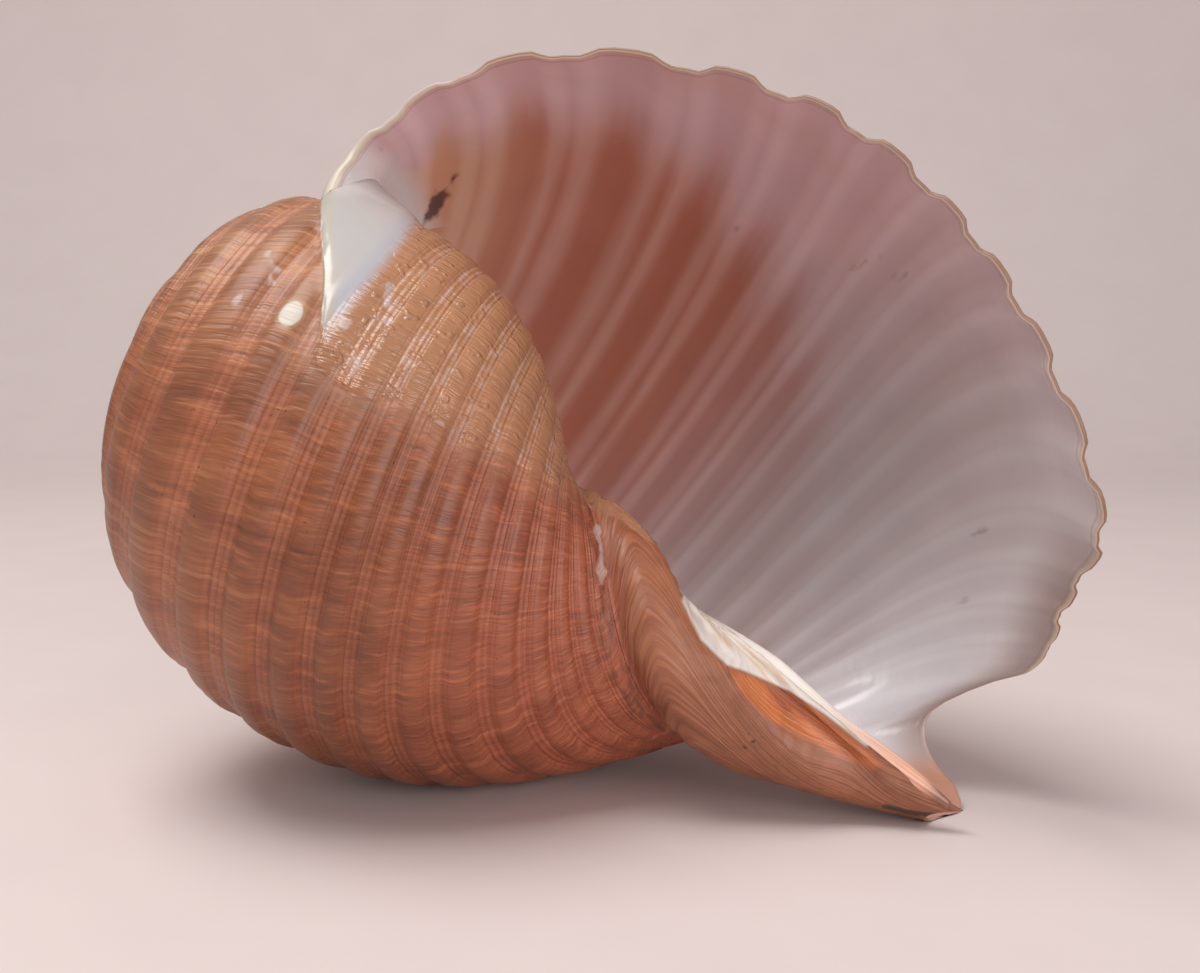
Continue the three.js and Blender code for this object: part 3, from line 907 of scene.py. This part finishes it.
    # relief too fine for the mesh
    hgt = t.add(t.mul(fine, 1.1), t.mul(pale, 0.35), t.mul(thin, -0.35), t.mul(stops, 0.5))
    hgt = t.add(t.mul(hgt, t.inv(band)), t.mul(band, t.mul(cres, 1.8)))
    cw_p = t.mul(t.step(cal_l, -0.10, 0.16), t.step(cal_r, -0.5, 1.5))
    hgt = t.mul(hgt, t.inv(t.math("MAXIMUM", cw_p, t.step(wband, -0.12, 0.28))))
    blob = t.step(t.noise(obj, 380.0, 1.0), 0.60, 0.74)
    hgt = t.add(hgt, t.mul(t.add(t.mul(blob, 1.2), t.mul(fine, 1.6)), t.step(glaze, -0.10, 0.22), t.inv(cw_p)))
    bump = t.node("ShaderNodeBump")
    bump.inputs["Strength"].default_value = 0.70
    bump.inputs["Distance"].default_value = 0.0004
    t.put(bump.inputs["Height"], hgt)

    b = t.node("ShaderNodeBsdfPrincipled")
    t.put(b.inputs["Base Color"], col)
    t.put(b.inputs["Roughness"], rough)
    t.put(b.inputs["Normal"], bump.outputs[0])
    b.inputs["IOR"].default_value = 1.55
    b.inputs["Coat Weight"].default_value = 0.12
    b.inputs["Coat Roughness"].default_value = 0.22
    o = t.node("ShaderNodeOutputMaterial")
    t.t.links.new(b.outputs[0], o.inputs[0])
    return mat


def inside_material():
    mat = bpy.data.materials.new("shell_inside")
    t = Nodes(mat)
    gl, ribc, s = t.attribute("grow")
    back, side, th = t.attribute("edge")
    cal, glaze, chink = t.attribute("place")
    pale_marks_glint_d, dark_d, wband = t.attribute("marks")
    deep, white, band = t.attribute("zone")
    fx, fy, mouth = t.attribute("frame")
    corner, _, _ = t.attribute("corner")
    obj = t.node("ShaderNodeTexCoord").outputs["Object"]
    x = t.math("ABSOLUTE", t.math("SUBTRACT", t.math("FRACT", t.add(ribc, 0.5)), 0.5))
    along = t.noise(t.vec(t.mul(back, 1.6), t.mul(ribc, 2.3), 0.0), 1.0, 2.0)
    cross = t.noise(t.vec(t.mul(gl, 5.0), t.mul(ribc, 0.35), 4.0), 1.0, 2.0)
    # ribs show through as broad dark rays, grooves as paired pale streaks
    ray = t.step(t.add(t.math("ABSOLUTE", t.math("SUBTRACT", x, 0.16)), t.mul(t.math("SUBTRACT", along, 0.5), 0.14)), 0.02, 0.22)
    pair = t.bell(x, 0.16, 0.07)
    deep_col = t.mix(ray, srgb(220, 162, 147), srgb(200, 129, 107))
    deep_col = t.mix(t.mul(pair, t.step(along, 0.40, 0.62), 0.30), deep_col, srgb(232, 190, 176))
    deep_col = t.mix(t.mul(t.step(along, 0.5, 0.75), 0.40), deep_col, srgb(206, 132, 100))
    yellow = t.mul(t.step(s, 0.19, 0.09), 0.8)
    deep_col = t.mix(yellow, deep_col, t.mix(ray, srgb(234, 192, 160), srgb(226, 172, 138)))
    mauve = t.mix(t.mul(ray, 0.45), srgb(238, 206, 212), srgb(210, 173, 180))
    mauve = t.mix(t.mul(t.step(cross, 0.45, 0.70), 0.35), mauve, srgb(234, 194, 182))
    pale_col = t.mix(white, mauve, t.mix(t.mul(ray, 0.30), srgb(222, 219, 221), srgb(204, 192, 197)))
    edge = t.add(deep, t.mul(t.math("SUBTRACT", x, 0.25), 0.20), t.mul(t.math("SUBTRACT", along, 0.5), 0.30))
    dz = t.mul(t.step(edge, -0.12, 0.30), t.inv(t.mul(white, 0.85)))
    col = t.mix(dz, pale_col, deep_col)

    # painted shade: the inner face by the siphonal notch, where it curves away and faces down, is darkened brown-grey
    # along its edge
    notch_shade = t.mul(t.step(s, 0.575, 0.65), t.step(s, 0.86, 0.78), t.step(back, 0.42, 0.02))
    col = t.mix(t.mul(notch_shade, 0.66), col, srgb(140, 108, 92))
    # porcelain corner; painted light: the white is raised to 240 to lift the shade over the inner lip, and drops to 210
    # by the crease to meet the callus colour
    cw = t.step(t.ragged(cal, obj, 120.0, 0.8), -2.2, 1.2)
    col = t.mix(cw, col, t.mix(t.step(corner, 0.045, 0.0), srgb(240, 236, 236), srgb(210, 205, 204)))
    # dark smudges
    dk = t.step(t.ragged(dark_d, obj, 260.0, 0.7), -0.25, 0.35)
    col = t.mix(t.mul(dk, 0.6), col, srgb(96, 66, 66))
    # painted shade: dark patches where the white inner lip turns away into the shadowed deep interior
    fold_shade = t.math("MAXIMUM", t.oval(fx, fy, 437, 203, 7.5, 18, 32), t.oval(fx, fy, 428, 217, 5, 10, 38))
    fold_shade = t.math("MAXIMUM", fold_shade, t.oval(fx, fy, 453, 178, 3, 6, 30))
    fold_shade = t.mul(t.step(t.ragged(fold_shade, obj, 420.0, 0.9), -0.15, 0.35), mouth)
    col = t.mix(t.mul(fold_shade, 0.85), col, srgb(74, 44, 54))
    tip = t.math("MAXIMUM", t.step(s, 0.86, 0.93), t.mul(t.step(s, 0.76, 0.80), t.step(back, 0.30, 0.10)))
    col = t.mix(t.mul(tip, 0.85), col, t.mix(t.step(s, 0.90, 0.94), srgb(182, 122, 90), srgb(112, 74, 58)))
    col = t.mix(t.mul(t.step(s, 0.87, 0.92), t.step(side, 0.95, 0.85), 0.85), col, srgb(100, 64, 50))
    # lip edge: pale rim, thin brown line on its outer side, faint line behind
    onlip = t.step(s, 0.80, 0.70)
    pr = t.mul(t.step(back, 0.016, 0.003), t.step(side, 0.55, 0.7), onlip)
    col = t.mix(t.mul(pr, 0.8), col, srgb(206, 186, 164))
    ln = t.mul(t.bell(back, 0.028, 0.012), onlip, 0.35)
    col = t.mix(ln, col, srgb(150, 118, 100))
    brown = t.mul(t.step(side, 0.72, 0.56), t.step(s, 0.06, 0.16))
    col = t.mix(t.mul(brown, 0.9), col, srgb(128, 92, 62))
    cream = t.mul(t.step(side, 0.9, 0.7), t.step(s, 0.15, 0.05))
    col = t.mix(t.mul(cream, 0.85), col, srgb(184, 172, 154))
    col = t.tint(col, t.noise(obj, 45.0, 1.0), 0.95, 1.05)
    bump = t.node("ShaderNodeBump")
    bump.inputs["Strength"].default_value = 0.15
    bump.inputs["Distance"].default_value = 0.0006
    t.put(bump.inputs["Height"], t.noise(t.vec(t.mul(gl, 16.0), t.mul(ribc, 1.2), 0.0), 1.0, 1.0))
    b = t.node("ShaderNodeBsdfPrincipled")
    t.put(b.inputs["Base Color"], col)
    t.put(b.inputs["Roughness"], t.span(side, 0.75, 0.95, 0.50, 0.27))
    b.inputs["IOR"].default_value = 1.55
    b.inputs["Coat Weight"].default_value = 0.16
    b.inputs["Coat Roughness"].default_value = 0.16
    t.put(b.inputs["Normal"], bump.outputs[0])
    o = t.node("ShaderNodeOutputMaterial")
    t.t.links.new(b.outputs[0], o.inputs[0])
    return mat


def pillar_material():
    mat = bpy.data.materials.new("shell_columella")
    t = Nodes(mat)
    gl, ribc, s = t.attribute("grow")
    back, side, ang = t.attribute("edge")
    obj = t.node("ShaderNodeTexCoord").outputs["Object"]
    n = t.noise(t.vec(t.mul(ang, 4.0), t.mul(s, 9.0), 0.0), 1.0, 3.0)
    col = t.mix(t.mul(t.step(n, 0.52, 0.75), 0.5), srgb(240, 234, 228), srgb(226, 190, 146))
    col = t.mix(t.mul(t.step(s, 2.90, 3.03), 0.85), col, t.mix(t.step(n, 0.4, 0.65), srgb(226, 170, 138), srgb(208, 124, 82)))
    col = t.mix(t.mul(t.step(s, 3.045, 3.075), 0.85), col, srgb(120, 74, 54))
    b = t.node("ShaderNodeBsdfPrincipled")
    t.put(b.inputs["Base Color"], col)
    b.inputs["Roughness"].default_value = 0.22
    b.inputs["IOR"].default_value = 1.55
    b.inputs["Coat Weight"].default_value = 0.25
    b.inputs["Coat Roughness"].default_value = 0.12
    o = t.node("ShaderNodeOutputMaterial")
    t.t.links.new(b.outputs[0], o.inputs[0])
    return mat


for made in (outside_material(), inside_material(), pillar_material()):
    mesh.materials.append(made)
fmax = np.maximum.reduceat(side[loops], starts)
fmin = np.minimum.reduceat(side[loops], starts)
slot = np.where(fmin >= 2.9, 0, np.where(fmin >= 1.9, 2, np.where(fmax < 0.1, 0, 1)))
mesh.polygons.foreach_set("material_index", slot.astype(np.int32))
mesh.update()

shell = bpy.data.objects.new("shell_visual", mesh)
bpy.context.scene.collection.objects.link(shell)
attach(shell, "root")
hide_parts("shell")

# ---------------------------------------------------------------- stage
floor_mesh = bpy.data.meshes.new("floor")
nx, ny = 2, 40
fv, ff = [], []
sweep = [(-1.2, 0.0)] + [(0.55 + 0.45 * math.sin(a), 0.45 - 0.45 * math.cos(a)) for a in np.linspace(0, PI / 2, 24)] + [(1.0, 1.6)]
for y, z in sweep:
    fv += [(-2.2, y, z), (2.2, y, z)]
for i in range(len(sweep) - 1):
    ff.append((2 * i, 2 * i + 1, 2 * i + 3, 2 * i + 2))
floor_mesh.from_pydata(fv, [], ff)
floor_mesh.polygons.foreach_set("use_smooth", np.ones(len(ff), bool))
floor_mesh.update()
fmat = bpy.data.materials.new("floor_pale")
tf = Nodes(fmat)
fo = tf.node("ShaderNodeTexCoord").outputs["Object"]
fc = tf.mix(tf.noise(fo, 30.0, 3.0), srgb(216, 202, 200), srgb(222, 209, 206))
fb = tf.node("ShaderNodeBsdfPrincipled")
tf.put(fb.inputs["Base Color"], fc)
fb.inputs["Roughness"].default_value = 0.85
fout = tf.node("ShaderNodeOutputMaterial")
tf.t.links.new(fb.outputs[0], fout.inputs[0])
floor_mesh.materials.append(fmat)
floor = bpy.data.objects.new("floor", floor_mesh)
bpy.context.scene.collection.objects.link(floor)

world_bg = bpy.data.worlds.new("studio")
bpy.context.scene.world = world_bg
world_bg.use_nodes = True
bg = world_bg.node_tree.nodes["Background"]
bg.inputs[0].default_value = (0.92, 0.88, 0.87, 1)
bg.inputs[1].default_value = 0.40


def area(name, at, to, size, power, color=(1, 1, 1)):
    light = bpy.data.lights.new(name, "AREA")
    light.shape = "RECTANGLE"
    light.size, light.size_y = size
    light.energy = power
    light.color = color
    o = bpy.data.objects.new(name, light)
    bpy.context.scene.collection.objects.link(o)
    o.location = at
    o.rotation_euler = (Vector(to) - Vector(at)).to_track_quat("-Z", "Y").to_euler()
    return o


area("key", (-0.30, -0.14, 0.95), (0.0, 0.0, 0.06), (0.8, 0.5), 8.0, (1.0, 0.985, 0.97))
area("front", (0.62, -1.08, 0.34), (0.0, 0.0, 0.09), (1.0, 0.6), 7.4, (1.0, 0.96, 0.96))

cam = bpy.data.cameras.new("camera")
cam.sensor_fit = "HORIZONTAL"
cam.sensor_width = 36.0
cam.lens = LENS_PX / 1200.0 * 36.0
cam.clip_start = 0.01
cam_obj = bpy.data.objects.new("camera", cam)
bpy.context.scene.collection.objects.link(cam_obj)
cam_obj.location = CAM
cam_obj.rotation_euler = (math.radians(90) - PITCH, 0, 0)
bpy.context.scene.camera = cam_obj
bpy.context.scene.view_settings.view_transform = "Standard"
